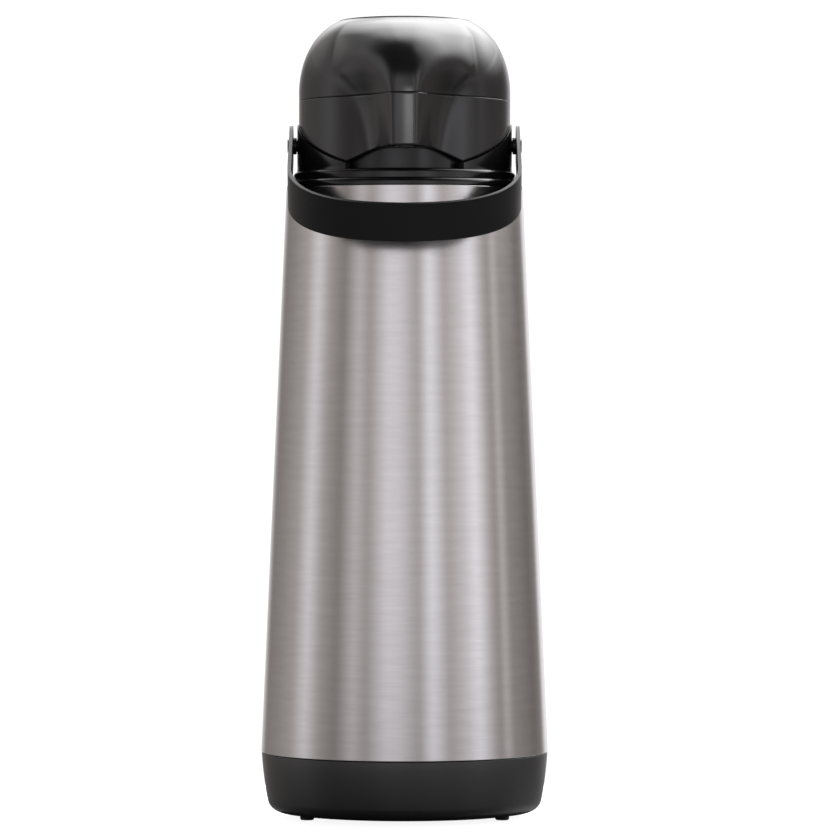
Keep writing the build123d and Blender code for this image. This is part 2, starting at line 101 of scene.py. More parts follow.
def turnOutline(bm, segments=192):
    # turns the outline about the pot's axis and drops what lies on the axis itself
    bmesh.ops.delete(bm, geom=bm.faces[:], context="FACES_ONLY")
    onAxis = [e for e in bm.edges if all(abs(v.co.x) < 1e-7 for v in e.verts)]
    bmesh.ops.delete(bm, geom=onAxis, context="EDGES")
    loose = [v for v in bm.verts if not v.link_edges]
    bmesh.ops.delete(bm, geom=loose, context="VERTS")
    bmesh.ops.spin(bm, geom=bm.verts[:] + bm.edges[:], cent=(0, 0, 0), axis=(0, 0, 1), dvec=(0, 0, 0),
                   angle=2 * pi, steps=segments, use_merge=True, use_duplicate=False)


def turnedPiece(name, points, rounds, body, material, nodes=(), segments=192, sharpAngle=None):
    bm = bmesh.new()
    outlineFace(bm, points, rounds)
    turnOutline(bm, segments)
    return finishPiece(name, bm, body, material, nodes, sharpAngle=sharpAngle)


def smoothMax(a, b, blend):
    share = min(1, max(0, 0.5 + 0.5 * (a - b) / blend))
    return b + (a - b) * share + blend * share * (1 - share)


def smoothMin(a, b, blend):
    return -smoothMax(-a, -b, blend)


def ease(t):
    t = min(1, max(0, t))
    return t * t * (3 - 2 * t)


def alongLevels(levels, z, column):
    # smooth curve through a column of (height, values...) levels
    if z <= levels[0][0]:
        return levels[0][column]
    for i in range(len(levels) - 1):
        low, high = levels[i], levels[i + 1]
        if z <= high[0]:
            before = levels[i - 1] if i else low
            after = levels[i + 2] if i + 2 < len(levels) else high
            t = (z - low[0]) / (high[0] - low[0])
            span = high[0] - low[0]
            inSlope = (high[column] - before[column]) / max(1e-6, high[0] - before[0]) * span
            outSlope = (after[column] - low[column]) / max(1e-6, after[0] - low[0]) * span
            t2, t3 = t * t, t * t * t
            return ((2 * t3 - 3 * t2 + 1) * low[column] + (t3 - 2 * t2 + t) * inSlope
                    + (-2 * t3 + 3 * t2) * high[column] + (t3 - t2) * outSlope)
    return levels[-1][column]


# shader groups

def newGroup(name, inputs, outputs):
    group = bpy.data.node_groups.new(name, "ShaderNodeTree")
    for label, kind, value in inputs:
        socket = group.interface.new_socket(label, in_out="INPUT", socket_type=kind)
        if value is not None:
            socket.default_value = value
    for label, kind in outputs:
        group.interface.new_socket(label, in_out="OUTPUT", socket_type=kind)
    nodes = group.nodes
    return group, nodes.new("NodeGroupInput"), nodes.new("NodeGroupOutput")


def mathNode(nodes, links, kind, a, b=None, c=None):
    node = nodes.new("ShaderNodeMath")
    node.operation = kind
    for i, value in enumerate((a, b, c)):
        if value is None:
            continue
        if isinstance(value, (int, float)):
            node.inputs[i].default_value = value
        else:
            links.new(value, node.inputs[i])
    return node.outputs[0]


def makeTurnedGrain():
    # fine lines that run round the pot, as a brushing belt or a lathe leaves them
    group, source, out = newGroup("turnedGrain",
                                  [("Lines", "NodeSocketFloat", 2600.0), ("Length", "NodeSocketFloat", 5.0)],
                                  [("Lines", "NodeSocketFloat"), ("Streaks", "NodeSocketFloat")])
    nodes, links = group.nodes, group.links
    coords = nodes.new("ShaderNodeTexCoord")
    split = nodes.new("ShaderNodeSeparateXYZ")
    links.new(coords.outputs["Object"], split.inputs[0])
    angle = mathNode(nodes, links, "ARCTAN2", split.outputs["Y"], split.outputs["X"])
    cosine = mathNode(nodes, links, "COSINE", angle)
    sine = mathNode(nodes, links, "SINE", angle)
    roundX = mathNode(nodes, links, "MULTIPLY", cosine, source.outputs["Length"])
    roundY = mathNode(nodes, links, "MULTIPLY", sine, source.outputs["Length"])
    height = mathNode(nodes, links, "MULTIPLY", split.outputs["Z"], source.outputs["Lines"])
    join = nodes.new("ShaderNodeCombineXYZ")
    links.new(roundX, join.inputs[0])
    links.new(roundY, join.inputs[1])
    links.new(height, join.inputs[2])
    fine = nodes.new("ShaderNodeTexNoise")
    fine.inputs["Scale"].default_value = 1.0
    fine.inputs["Detail"].default_value = 3.0
    links.new(join.outputs[0], fine.inputs["Vector"])
    slow = nodes.new("ShaderNodeVectorMath")
    slow.operation = "MULTIPLY"
    slow.inputs[1].default_value = (0.6, 0.6, 0.13)
    links.new(join.outputs[0], slow.inputs[0])
    streak = nodes.new("ShaderNodeTexNoise")
    streak.inputs["Scale"].default_value = 1.0
    streak.inputs["Detail"].default_value = 4.0
    links.new(slow.outputs[0], streak.inputs["Vector"])
    links.new(fine.outputs["Fac"], out.inputs["Lines"])
    links.new(streak.outputs["Fac"], out.inputs["Streaks"])
    return group


def makeMouldGrain():
    # the fine sparkle of a mould's surface, with slow waves where the plastic cooled
    group, source, out = newGroup("mouldGrain",
                                  [("Grain", "NodeSocketFloat", 2200.0), ("Waves", "NodeSocketFloat", 24.0)],
                                  [("Height", "NodeSocketFloat"), ("Sheen", "NodeSocketFloat")])
    nodes, links = group.nodes, group.links
    coords = nodes.new("ShaderNodeTexCoord")
    fine = nodes.new("ShaderNodeTexNoise")
    fine.inputs["Detail"].default_value = 2.0
    links.new(coords.outputs["Object"], fine.inputs["Vector"])
    links.new(source.outputs["Grain"], fine.inputs["Scale"])
    waves = nodes.new("ShaderNodeTexNoise")
    waves.inputs["Detail"].default_value = 3.0
    links.new(coords.outputs["Object"], waves.inputs["Vector"])
    links.new(source.outputs["Waves"], waves.inputs["Scale"])
    links.new(fine.outputs["Fac"], out.inputs["Height"])
    links.new(waves.outputs["Fac"], out.inputs["Sheen"])
    return group


def makeHandling():
    # faint smears where the pot is held and wiped
    group, source, out = newGroup("handling", [("Smears", "NodeSocketFloat", 14.0)],
                                  [("Smears", "NodeSocketFloat")])
    nodes, links = group.nodes, group.links
    coords = nodes.new("ShaderNodeTexCoord")
    smears = nodes.new("ShaderNodeTexNoise")
    smears.inputs["Detail"].default_value = 5.0
    smears.inputs["Distortion"].default_value = 0.8
    links.new(coords.outputs["Object"], smears.inputs["Vector"])
    links.new(source.outputs["Smears"], smears.inputs["Scale"])
    smearRamp = nodes.new("ShaderNodeMapRange")
    smearRamp.inputs["From Min"].default_value = 0.45
    smearRamp.inputs["From Max"].default_value = 0.75
    links.new(smears.outputs["Fac"], smearRamp.inputs["Value"])
    links.new(smearRamp.outputs[0], out.inputs["Smears"])
    return group


turnedGrain = makeTurnedGrain()
mouldGrain = makeMouldGrain()
handling = makeHandling()


def startMaterial(name):
    material = bpy.data.materials.new(name)
    material.use_nodes = True
    nodes, links = material.node_tree.nodes, material.node_tree.links
    return material, nodes, links, nodes["Principled BSDF"]


def placeGroup(nodes, group, **values):
    node = nodes.new("ShaderNodeGroup")
    node.node_tree = group
    for label, value in values.items():
        node.inputs[label].default_value = value
    return node


def rangeNode(nodes, links, value, low, high, fromLow=0.0, fromHigh=1.0):
    node = nodes.new("ShaderNodeMapRange")
    node.inputs["From Min"].default_value = fromLow
    node.inputs["From Max"].default_value = fromHigh
    node.inputs["To Min"].default_value = low
    node.inputs["To Max"].default_value = high
    links.new(value, node.inputs["Value"])
    return node.outputs[0]


def mixColours(nodes, links, share, first, second):
    node = nodes.new("ShaderNodeMix")
    node.data_type = "RGBA"
    node.inputs["A"].default_value = (*first, 1)
    node.inputs["B"].default_value = (*second, 1)
    links.new(share, node.inputs["Factor"])
    return node.outputs["Result"]


def bumpFrom(nodes, links, shader, height, strength, distance):
    bump = nodes.new("ShaderNodeBump")
    bump.inputs["Strength"].default_value = strength
    bump.inputs["Distance"].default_value = distance
    links.new(height, bump.inputs["Height"])
    links.new(bump.outputs[0], shader.inputs["Normal"])


def makeBrushedSteel(light, dark, rough):
    material, nodes, links, shader = startMaterial("brushedSteel")
    grain = placeGroup(nodes, turnedGrain, Lines=2600.0, Length=5.0)
    smear = placeGroup(nodes, handling, Smears=11.0)
    shader.inputs["Metallic"].default_value = 1.0
    shader.inputs["Anisotropic"].default_value = 0.7
    shader.inputs["Anisotropic Rotation"].default_value = 0.25
    streaks = rangeNode(nodes, links, grain.outputs["Streaks"], 0, 1, 0.3, 0.7)
    colour = mixColours(nodes, links, streaks, dark, light)
    links.new(colour, shader.inputs["Base Color"])
    base = rangeNode(nodes, links, grain.outputs["Lines"], rough[0], rough[1], 0.3, 0.7)
    lift = mathNode(nodes, links, "MULTIPLY_ADD", smear.outputs["Smears"], 0.03, base)
    links.new(lift, shader.inputs["Roughness"])
    bumpFrom(nodes, links, shader, grain.outputs["Lines"], 0.25, 0.00003)
    return material


deepBlack = [(0.006, 0.006, 0.0062), (0.009, 0.009, 0.0092)]  # the plastic's darker and lighter parts
cupBlack = [(0.010, 0.010, 0.0102), (0.014, 0.014, 0.0142)]


def makeBlackPlastic(name, rough, dark=deepBlack[0], light=deepBlack[1], strength=0.12, gloss=0.5):
    material, nodes, links, shader = startMaterial(name)
    skin = placeGroup(nodes, mouldGrain, Grain=2200.0, Waves=18.0)
    touch = placeGroup(nodes, handling, Smears=16.0)
    colour = mixColours(nodes, links, skin.outputs["Sheen"], dark, light)
    links.new(colour, shader.inputs["Base Color"])
    base = rangeNode(nodes, links, skin.outputs["Sheen"], rough[0], rough[1], 0.3, 0.7)
    lift = mathNode(nodes, links, "MULTIPLY_ADD", touch.outputs["Smears"], 0.04, base)
    links.new(lift, shader.inputs["Roughness"])
    shader.inputs["Specular IOR Level"].default_value = gloss
    bumpFrom(nodes, links, shader, skin.outputs["Height"], strength, 0.00005)
    return material


def makeMilkyPlastic(name, light, dark, rough=(0.35, 0.5), clear=0.0):
    material, nodes, links, shader = startMaterial(name)
    skin = placeGroup(nodes, mouldGrain, Grain=1500.0, Waves=30.0)
    colour = mixColours(nodes, links, skin.outputs["Sheen"], dark, light)
    links.new(colour, shader.inputs["Base Color"])
    links.new(rangeNode(nodes, links, skin.outputs["Sheen"], rough[0], rough[1]), shader.inputs["Roughness"])
    shader.inputs["Subsurface Weight"].default_value = 0.15
    shader.inputs["Subsurface Scale"].default_value = 0.002
    shader.inputs["Transmission Weight"].default_value = clear
    bumpFrom(nodes, links, shader, skin.outputs["Height"], 0.08, 0.00005)
    return material


def makeRubber():
    material, nodes, links, shader = startMaterial("softRubber")
    skin = placeGroup(nodes, mouldGrain, Grain=1300.0, Waves=40.0)
    touch = placeGroup(nodes, handling, Smears=30.0)
    colour = mixColours(nodes, links, touch.outputs["Smears"], (0.028, 0.028, 0.028), (0.06, 0.058, 0.055))
    links.new(colour, shader.inputs["Base Color"])
    links.new(rangeNode(nodes, links, skin.outputs["Sheen"], 0.6, 0.8), shader.inputs["Roughness"])
    bumpFrom(nodes, links, shader, skin.outputs["Height"], 0.3, 0.0001)
    return material


def makeSilveredGlass():
    material, nodes, links, shader = startMaterial("silveredGlass")
    film = placeGroup(nodes, mouldGrain, Grain=120.0, Waves=9.0)
    colour = mixColours(nodes, links, film.outputs["Sheen"], (0.62, 0.62, 0.63), (0.86, 0.86, 0.87))
    links.new(colour, shader.inputs["Base Color"])
    shader.inputs["Metallic"].default_value = 1.0
    links.new(rangeNode(nodes, links, film.outputs["Sheen"], 0.03, 0.1), shader.inputs["Roughness"])
    shader.inputs["Coat Weight"].default_value = 1.0
    shader.inputs["Coat Roughness"].default_value = 0.02
    bumpFrom(nodes, links, shader, film.outputs["Sheen"], 0.1, 0.0004)
    return material


def makeBrightSteel(name, rough):
    material, nodes, links, shader = startMaterial(name)
    film = placeGroup(nodes, mouldGrain, Grain=900.0, Waves=60.0)
    colour = mixColours(nodes, links, film.outputs["Sheen"], (0.55, 0.55, 0.54), (0.72, 0.71, 0.7))
    links.new(colour, shader.inputs["Base Color"])
    shader.inputs["Metallic"].default_value = 1.0
    wear = rangeNode(nodes, links, film.outputs["Height"], rough - 0.05, rough + 0.07)
    links.new(wear, shader.inputs["Roughness"])
    bumpFrom(nodes, links, shader, film.outputs["Height"], 0.06, 0.00004)
    return material


def makeFelt():
    material, nodes, links, shader = startMaterial("paleFelt")
    fibres = placeGroup(nodes, mouldGrain, Grain=2600.0, Waves=300.0)
    colour = mixColours(nodes, links, fibres.outputs["Height"], (0.42, 0.4, 0.37), (0.62, 0.6, 0.56))
    links.new(colour, shader.inputs["Base Color"])
    shader.inputs["Roughness"].default_value = 0.95
    shader.inputs["Sheen Weight"].default_value = 0.4
    bumpFrom(nodes, links, shader, fibres.outputs["Height"], 0.6, 0.0003)
    return material


brushedSteel = makeBrushedSteel(light=(0.65, 0.635, 0.63), dark=(0.61, 0.595, 0.585), rough=(0.17, 0.23))
satinBlack = makeBlackPlastic("satinBlack", (0.19, 0.25), gloss=0.68)
baseBlack = makeBlackPlastic("baseBlack", (0.32, 0.4), cupBlack[0], cupBlack[1], strength=0.2, gloss=0.8)
strapBlack = makeBlackPlastic("strapBlack", (0.38, 0.46), strength=0.2)
glossBlack = makeBlackPlastic("glossBlack", (0.17, 0.23), strength=0.05, gloss=0.62)
neckBlack = makeBlackPlastic("neckBlack", (0.14, 0.2), strength=0.05)
pumpPlastic = makeMilkyPlastic("pumpPlastic", (0.74, 0.73, 0.69), (0.66, 0.65, 0.61))
bellowsPlastic = makeMilkyPlastic("bellowsPlastic", (0.82, 0.81, 0.77), (0.74, 0.73, 0.69), (0.4, 0.55))
tubePlastic = makeMilkyPlastic("tubePlastic", (0.85, 0.85, 0.83), (0.78, 0.78, 0.76), (0.22, 0.35), 0.25)
softRubber = makeRubber()
silveredGlass = makeSilveredGlass()
springSteel = makeBrightSteel("springSteel", 0.22)
screwSteel = makeBrightSteel("screwSteel", 0.3)
paleFelt = makeFelt()
print("materials made")

carriedNodes = {
    "flask_seat": softRubber, "neck_gasket": softRubber, "stopper_gasket": softRubber,
    "air_valve": softRubber,
    "flask_outer_glass": silveredGlass, "flask_inner_glass": silveredGlass, "flask_spacer_pads": paleFelt,
    "pump_base": pumpPlastic, "bellows_seat": pumpPlastic, "plunger": pumpPlastic, "ball_cage": pumpPlastic,
    "spout_nozzle": satinBlack, "spout_tube": tubePlastic, "dip_tube": tubePlastic, "tilt_ball": screwSteel,
    "head_screws": screwSteel, "plunger_screw": screwSteel,
}
for node, material in carriedNodes.items():
    mesh = frame["nodes"][node].data
    mesh.materials.clear()
    mesh.materials.append(material)


# steel body

steel = {
    "wall": 0.6, "topRadius": 58.7, "flangeRadius": 51.0, "rimRoll": 0.3, "hemRoll": 0.35, "innerRoll": 0.5,
}


def makeSteelBody():
    low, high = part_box("body_shell")
    bottomZ, topZ, bottomRadius = low.z / mm, high.z / mm, high.x / mm
    wall, topRadius = steel["wall"], steel["topRadius"]
    flange = steel["flangeRadius"]
    points = [
        (bottomRadius, bottomZ), (topRadius, topZ), (flange, topZ), (flange, topZ - wall),
        (topRadius - wall, topZ - wall), (bottomRadius - wall, bottomZ),
    ]
    rounds = [(0, steel["hemRoll"]), (1, steel["rimRoll"]), (4, steel["innerRoll"])]
    turnedPiece("steelBody", points, rounds, "bottle", brushedSteel, ["body_shell"], 256)


makeSteelBody()


# base cup and feet

base = {
    "wall": 2.5, "floor": 3.0, "cornerRound": 5.4, "bowRadius": 9.0, "seamGap": 0.3, "spigot": 7.0,
    "footDraw": 4.1, "bowDraw": 1.15, "bowZ": 17.0, "spigotOuter": 1.0, "spigotInner": 3.0,
    "seamRound": 0.35, "floorRound": 3.0,
}


def makeBaseCup():
    low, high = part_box("base_cup")
    footTop = low.z / mm
    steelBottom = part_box("body_shell")[0].z / mm
    outer = high.x / mm
    foot = outer - base["footDraw"]
    spigotOut, spigotIn = outer - base["spigotOuter"], outer - base["spigotInner"]
    spigotTop = steelBottom + base["spigot"]
    floorTop = footTop + base["floor"]
    points = [
        (0, footTop), (foot, footTop), (outer - base["bowDraw"], base["bowZ"]),
        (outer, steelBottom - base["seamGap"]), (spigotOut, steelBottom - base["seamGap"] * 0.5),
        (spigotOut, spigotTop), (spigotIn, spigotTop), (spigotIn, steelBottom - 2.0),
        (foot - base["wall"], floorTop), (0, floorTop),
    ]
    rounds = [
        (1, base["cornerRound"]), (2, base["bowRadius"]), (3, base["seamRound"]), (8, base["floorRound"]),
    ]
    turnedPiece("baseCup", points, rounds, "bottle", baseBlack, ["base_cup"], 224)


footPad = {"taper": 0.96, "rimRound": 0.0007}


def makeFoot(number):
    node = "foot_%d" % number
    low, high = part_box(node)
    centre = (low + high) / 2
    radius = (high.x - low.x) / 2
    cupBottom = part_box("base_cup")[0].z
    bm = bmesh.new()
    bmesh.ops.create_cone(bm, cap_ends=True, segments=40, radius1=radius * footPad["taper"], radius2=radius,
                          depth=cupBottom)
    bmesh.ops.translate(bm, verts=bm.verts[:], vec=(centre.x, centre.y, cupBottom / 2))
    rim = [e for e in bm.edges if all(v.co.z < 1e-6 for v in e.verts)]
    bmesh.ops.bevel(bm, geom=rim, offset=footPad["rimRound"], segments=4, profile=0.5, affect="EDGES",
                    material=-1)
    finishPiece("footPad%d" % number, bm, "bottle", softRubber, [node], sharpAngle=50)


makeBaseCup()
for number in range(1, 5):
    makeFoot(number)


# collar with its ears

collar = {
    "flangeRadius": 58.6, "ribHeight": 4.2, "ribStep": 2.2, "ribTop": 318.7, "earRadius": 53.3,
    "earInner": 49.2, "tipRadius": 10.9, "slope": 27.0, "frontCut": 28.8, "panelAngle": 34.0,
    "floorTop": 313.5, "floorBottom": 311.0, "throat": 31.5,
    "panelRise": 10.0, "columns": 120, "rows": 16,
}
pinLow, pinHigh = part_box("handle_pin_right")
pivotZ = (pinLow.z + pinHigh.z) / 2 / mm
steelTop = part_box("body_shell")[1].z / mm


def roofHeight(y, offset=0.0):
    # the ears' roof line in side view: a round tip over the pivot, then two slopes
    tip = collar["tipRadius"] + offset
    slope = radians(collar["slope"])
    side = abs(y)
    if side <= tip * sin(slope):
        return pivotZ + sqrt(max(0, tip * tip - side * side))
    return pivotZ + tip * cos(slope) - (side - tip * sin(slope)) * tan(slope)


def makeCollarRing():
    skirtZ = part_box("collar")[0].z / mm
    flange, step = collar["flangeRadius"], collar["ribStep"]
    ribZ = steelTop + collar["ribHeight"]
    top = collar["ribTop"]
    inner, throat = collar["earInner"], collar["throat"]
    points = [
        (flange, steelTop + 0.05), (flange - 0.5, ribZ), (flange - 0.9 - step, ribZ - 0.3),
        (flange - 1.0 - step, top), (inner, top), (inner, collar["floorTop"]), (throat, collar["floorTop"]),
        (throat, collar["floorBottom"]), (inner - 1, collar["floorBottom"]), (inner - 1, skirtZ),
        (inner + 1.6, skirtZ), (inner + 1.6, steelTop + 0.05),
    ]
    rounds = [(0, 0.4), (1, 2.6), (2, 0.35), (3, 2.2), (4, 0.5), (6, 0.6)]
    turnedPiece("collarRing", points, rounds, "bottle", neckBlack, [], 256, sharpAngle=55)


def panelRadius(z):
    # the side panels flare from the ears out to the steel's rim
    rise = ease((z - steelTop) / collar["panelRise"])
    return collar["flangeRadius"] + 0.05 + (collar["earRadius"] - collar["flangeRadius"]) * rise ** 0.7


def makeEar(side):
    # a closed wall round one side, its foot on the steel's rim under the panel and on the ribs beyond it
    footZ = steelTop + 0.08
    radius, inner = collar["earRadius"], collar["earInner"]
    panel = radians(collar["panelAngle"])
    frontEnd = atan2(sqrt(radius ** 2 - collar["frontCut"] ** 2), collar["frontCut"])
    slope = radians(collar["slope"])
    fall = pivotZ + collar["tipRadius"] * cos(slope) - collar["ribTop"] - 0.2
    rearEnd = asin(min(1, (collar["tipRadius"] * sin(slope) + fall / tan(slope)) / radius))
    columns, rows = collar["columns"], collar["rows"]
    bm = bmesh.new()
    verts = [bm.verts.new((radius * mm, 0, (0.1 + i) * mm)) for i in range(rows)]
    for i in range(rows - 1):
        bm.edges.new((verts[i], verts[i + 1]))
    topInner = bm.verts.new((inner * mm, 0, rows * mm))
    lowInner = bm.verts.new((inner * mm, 0, 0.1 * mm))
    for pair in ((verts[-1], topInner), (topInner, lowInner), (lowInner, verts[0])):
        bm.edges.new(pair)
    bmesh.ops.spin(bm, geom=bm.verts[:] + bm.edges[:], cent=(0, 0, 0), axis=(0, 0, 1), dvec=(0, 0, 0),
                   angle=pi / 2, steps=columns, use_merge=False, use_duplicate=False)
    for v in bm.verts:
        share = atan2(v.co.y, v.co.x) / (pi / 2)
        r = hypot(v.co.x, v.co.y) / mm
        row = v.co.z / mm
        # a pair of columns close together makes the panel's upright edge
        if share < 0.2:
            angle = -frontEnd + (frontEnd - panel) * share / 0.2
        elif share < 0.8:
            angle = -panel + 2 * panel * min(1, max(0, (share - 0.21) / 0.58))
        else:
            angle = panel + (rearEnd - panel) * (share - 0.8) / 0.2
        onPanel = 0.205 < share < 0.795
        bottom = footZ if onPanel else collar["ribTop"] - 0.4
        y = radius * sin(angle)
        top = roofHeight(y)
        if r < radius - 0.5:
            z = top - 0.02 if row > 1 else bottom
            out = inner
        else:
            z = bottom + (top - bottom) * min(1, (row - 0.1) / (rows - 1))
            out = panelRadius(z)
        v.co = Vector((out * cos(angle) * mm * side, out * sin(angle) * mm, z * mm))
    ends = [e for e in bm.edges if e.is_boundary]
    bmesh.ops.holes_fill(bm, edges=ends, sides=0)
    name = "earRight" if side > 0 else "earLeft"
    finishPiece(name, bm, "bottle", neckBlack, ["collar"], sharpAngle=38)


makeCollarRing()
makeEar(1)
makeEar(-1)


# head: round cap with the spout column growing out of it

head = {
    "radius": 52.5, "seam": 354.0, "domeStart": 358.0, "domeRadial": 26.9, "domeRise": 37.0,
    "opening": 33.1, "wall": 2.2, "gap": 0.4, "pocket": 48.8, "neck": 46.6, "sleeve": 27.0,
    "underside": 328.5, "archHalf": 14.0, "archEnd": 322.0,
    "flareBlend": 10.0, "seamRound": 0.35,
    "noseTurn": 85, "steepest": 1.2, "crownBow": 0.012, "windowFade": 0.3, "archBlend": 2.4,
}
# height, depth, half width of the face, half width at the root, softness of the face's edges
noseLevels = [
    (328.5, 74.5, 6.2, 14.5, 3.0),
    (342.0, 75.3, 6.4, 16.5, 3.0),
    (354.0, 75.5, 6.8, 20.0, 4.0),
    (361.0, 74.7, 7.8, 24.5, 6.0),
    (368.0, 72.2, 10.0, 31.0, 10.0),
    (375.0, 67.8, 13.0, 37.0, 14.0),
    (381.0, 61.8, 15.0, 39.5, 16.0),
    (386.0, 53.8, 15.0, 37.0, 14.0),
    (389.5, 45.5, 14.0, 32.0, 10.0),
    (392.3, 36.6, 12.0, 24.0, 4.0),
    (394.0, 32.0, 12.0, 22.0, 2.0),
]


def roundRadius(z):
    share = min(1, max(0, z - head["domeStart"]) / head["domeRise"])
    return head["radius"] - head["domeRadial"] + head["domeRadial"] * sqrt(1 - share ** 2)


def skinRadius(angle, z, inset=0.0):
    # angle is measured from straight ahead of the spout
    bare = roundRadius(z) - inset
    turn = abs(angle)
    if turn > radians(head["noseTurn"]):
        return bare
    depth, face, root, edge = [alongLevels(noseLevels, z, column) for column in (1, 2, 3, 4)]
    depth -= inset
    root = min(root, roundRadius(z) * 0.95)
    hip = sqrt(roundRadius(z) ** 2 - root ** 2) - inset
    dx, dy = root - face, min(-2, hip - depth)
    facing = min(turn, head["steepest"])
    front = depth / cos(facing) - head["crownBow"] * (depth * tan(facing)) ** 2
    flank = (face * dy - depth * dx) / (sin(turn) * dy - cos(turn) * dx)
    column = smoothMin(front, flank, edge)
    within = 1 - ease((turn - asin(root / roundRadius(z))) / head["windowFade"])
    column = column * within + (bare - 8) * (1 - within)
    blend = min(head["flareBlend"], 0.2 + max(0, depth - bare) * 0.8)
    return smoothMax(column, bare, blend)


def archHeight(x):
    # the lower edge under the spout, seen from the front
    side = abs(x)
    flat = head["archHalf"]
    drop = (head["underside"] - head["archEnd"]) / (collar["frontCut"] - flat)
    line = head["underside"] - drop * (side - flat)
    return smoothMin(head["underside"], line, head["archBlend"])


def lowerEdge(angle):
    # height and radius of the head's bottom edge at an angle from the spout
    r = head["radius"]
    for _ in range(6):
        x, y = r * sin(angle), -r * cos(angle)
        underSpout = y < 0 and abs(x) < collar["frontCut"]
        z = archHeight(x) if underSpout else max(collar["ribTop"] + head["gap"], roofHeight(y, head["gap"]))
        r = skinRadius(angle, z)
    return z, r, underSpout


def spinColumn(bm, count, segments):
    verts = [bm.verts.new((1 + 0.001 * i, 0, i)) for i in range(count)]
    for i in range(count):
        bm.edges.new((verts[i], verts[(i + 1) % count]))
    bmesh.ops.spin(bm, geom=bm.verts[:] + bm.edges[:], cent=(0, 0, 0), axis=(0, 0, 1), dvec=(0, 0, 0),
                   angle=2 * pi, steps=segments, use_merge=True, use_duplicate=False)


def placeRows(bm, rowPlace):
    # each vertex knows its row from its height and its column from its angle
    for v in bm.verts:
        row = round(v.co.z)
        around = atan2(v.co.y, v.co.x)
        angle = atan2(sin(around + pi / 2), cos(around + pi / 2))
        r, z = rowPlace(row, angle)
        v.co = Vector((r * cos(around) * mm, r * sin(around) * mm, z * mm))


def makeHeadLower():
    rows = 34
    cache = {}

    def rowPlace(row, angle):
        key = round(angle, 5)
        if key not in cache:
            cache[key] = lowerEdge(angle)
        low, edgeRadius, underSpout = cache[key]
        inner = head["neck"] + 0.05 if underSpout else head["pocket"]
        soft = head["seamRound"]
        if row < rows:
            share = row / (rows - 1)
            z = low + 0.3 + (head["seam"] - soft - low - 0.3) * share
            return skinRadius(angle, z), z
        last = skinRadius(angle, head["seam"])
        if row == rows:
            return last - soft * 0.3, head["seam"] - soft * 0.35
        if row == rows + 1:
            return last - soft, head["seam"] - 0.02
        if row == rows + 2:
            return inner, head["seam"] - 0.02
        if row == rows + 3:
            return inner, low
        if row == rows + 4:
            return edgeRadius - 0.5, low
        return edgeRadius - 0.12, low + 0.1

    bm = bmesh.new()
    spinColumn(bm, rows + 6, 480)
    placeRows(bm, rowPlace)
    finishPiece("headLower", bm, "head", satinBlack, ["head_lower"], sharpAngle=50)


def makeHeadNeck():
    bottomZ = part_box("head_lower")[0].z / mm
    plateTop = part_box("pump_base")[1].z / mm
    skirt = head["neck"] - head["wall"]
    neckTop = head["seam"] - 8
    floorTop, floorHole = plateTop + 2.5, 34.5
    points = [
        (head["neck"], bottomZ), (head["neck"], neckTop), (skirt, neckTop), (skirt, floorTop),
        (floorHole, floorTop), (floorHole, plateTop), (skirt, plateTop), (skirt, bottomZ),
    ]
    rounds = [(0, 0.4), (7, 0.4)]
    turnedPiece("headNeck", points, rounds, "head", neckBlack, ["head_lower"], 160,
                sharpAngle=45)


def makeHeadUpper():
    wallRows = 6
    domeRows = 40
    centre = head["radius"] - head["domeRadial"]
    endTurn = pi / 2 - asin((head["opening"] - centre) / head["domeRadial"])
    rimZ = head["domeStart"] + head["domeRise"] * sin(endTurn)
    soft = head["seamRound"]
    outer = wallRows + domeRows

    def rowPlace(row, angle):
        if row < wallRows:
            z = head["seam"] + soft + (head["domeStart"] - head["seam"] - soft) * row / wallRows
            return skinRadius(angle, z), z
        if row < outer:
            turn = endTurn * (row - wallRows) / (domeRows - 1)
            z = head["domeStart"] + head["domeRise"] * sin(turn)
            r = centre + head["domeRadial"] * cos(turn)
            grown = skinRadius(angle, z) - roundRadius(z)
            if row == outer - 1:
                r += 0.25
            return r + max(0, grown), z
        first = skinRadius(angle, head["seam"])
        tail = row - outer
        if tail == 0:
            return head["opening"] + 0.02, rimZ - 0.25
        if tail == 1:
            return head["opening"], rimZ - 0.7
        if tail == 2:
            return head["opening"], rimZ - head["sleeve"]
        if tail == 3:
            return head["opening"] + head["wall"], rimZ - head["sleeve"]
        if tail == 4:
            return head["opening"] + head["wall"], head["seam"] + 24
        if tail == 5:
            return roundRadius(370) - head["wall"], 370
        if tail == 6:
            return first - head["wall"], head["seam"] + 4
        if tail == 7:
            return first - head["wall"], head["seam"] + 0.02
        if tail == 8:
            return first - soft, head["seam"] + 0.02
        return first - soft * 0.3, head["seam"] + soft * 0.35

    bm = bmesh.new()
    spinColumn(bm, outer + 10, 480)
    placeRows(bm, rowPlace)
    finishPiece("headUpper", bm, "head", glossBlack, ["head_upper"], sharpAngle=50)


makeHeadLower()
makeHeadNeck()
makeHeadUpper()


# button

button = {"rimRound": 0.9, "wall": 2.2, "crown": 0.7}


def makeButtonCap():
    low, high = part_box("button_cap")
    radius, bottom, top = high.x / mm, low.z / mm, high.z / mm
    rim = top - button["crown"]
    points = [
        (0, top), (radius * 0.55, top - 0.12), (radius * 0.85, top - 0.42), (radius, rim), (radius, bottom),
        (radius - button["wall"], bottom), (radius - button["wall"], rim - button["wall"]),
        (0, rim - button["wall"]),
    ]
    rounds = [(1, 4.0), (2, 3.0), (3, button["rimRound"]), (6, 0.8)]
    turnedPiece("buttonCap", points, rounds, "button", glossBlack, ["button_cap"],
                sharpAngle=50)


makeButtonCap()


# handle

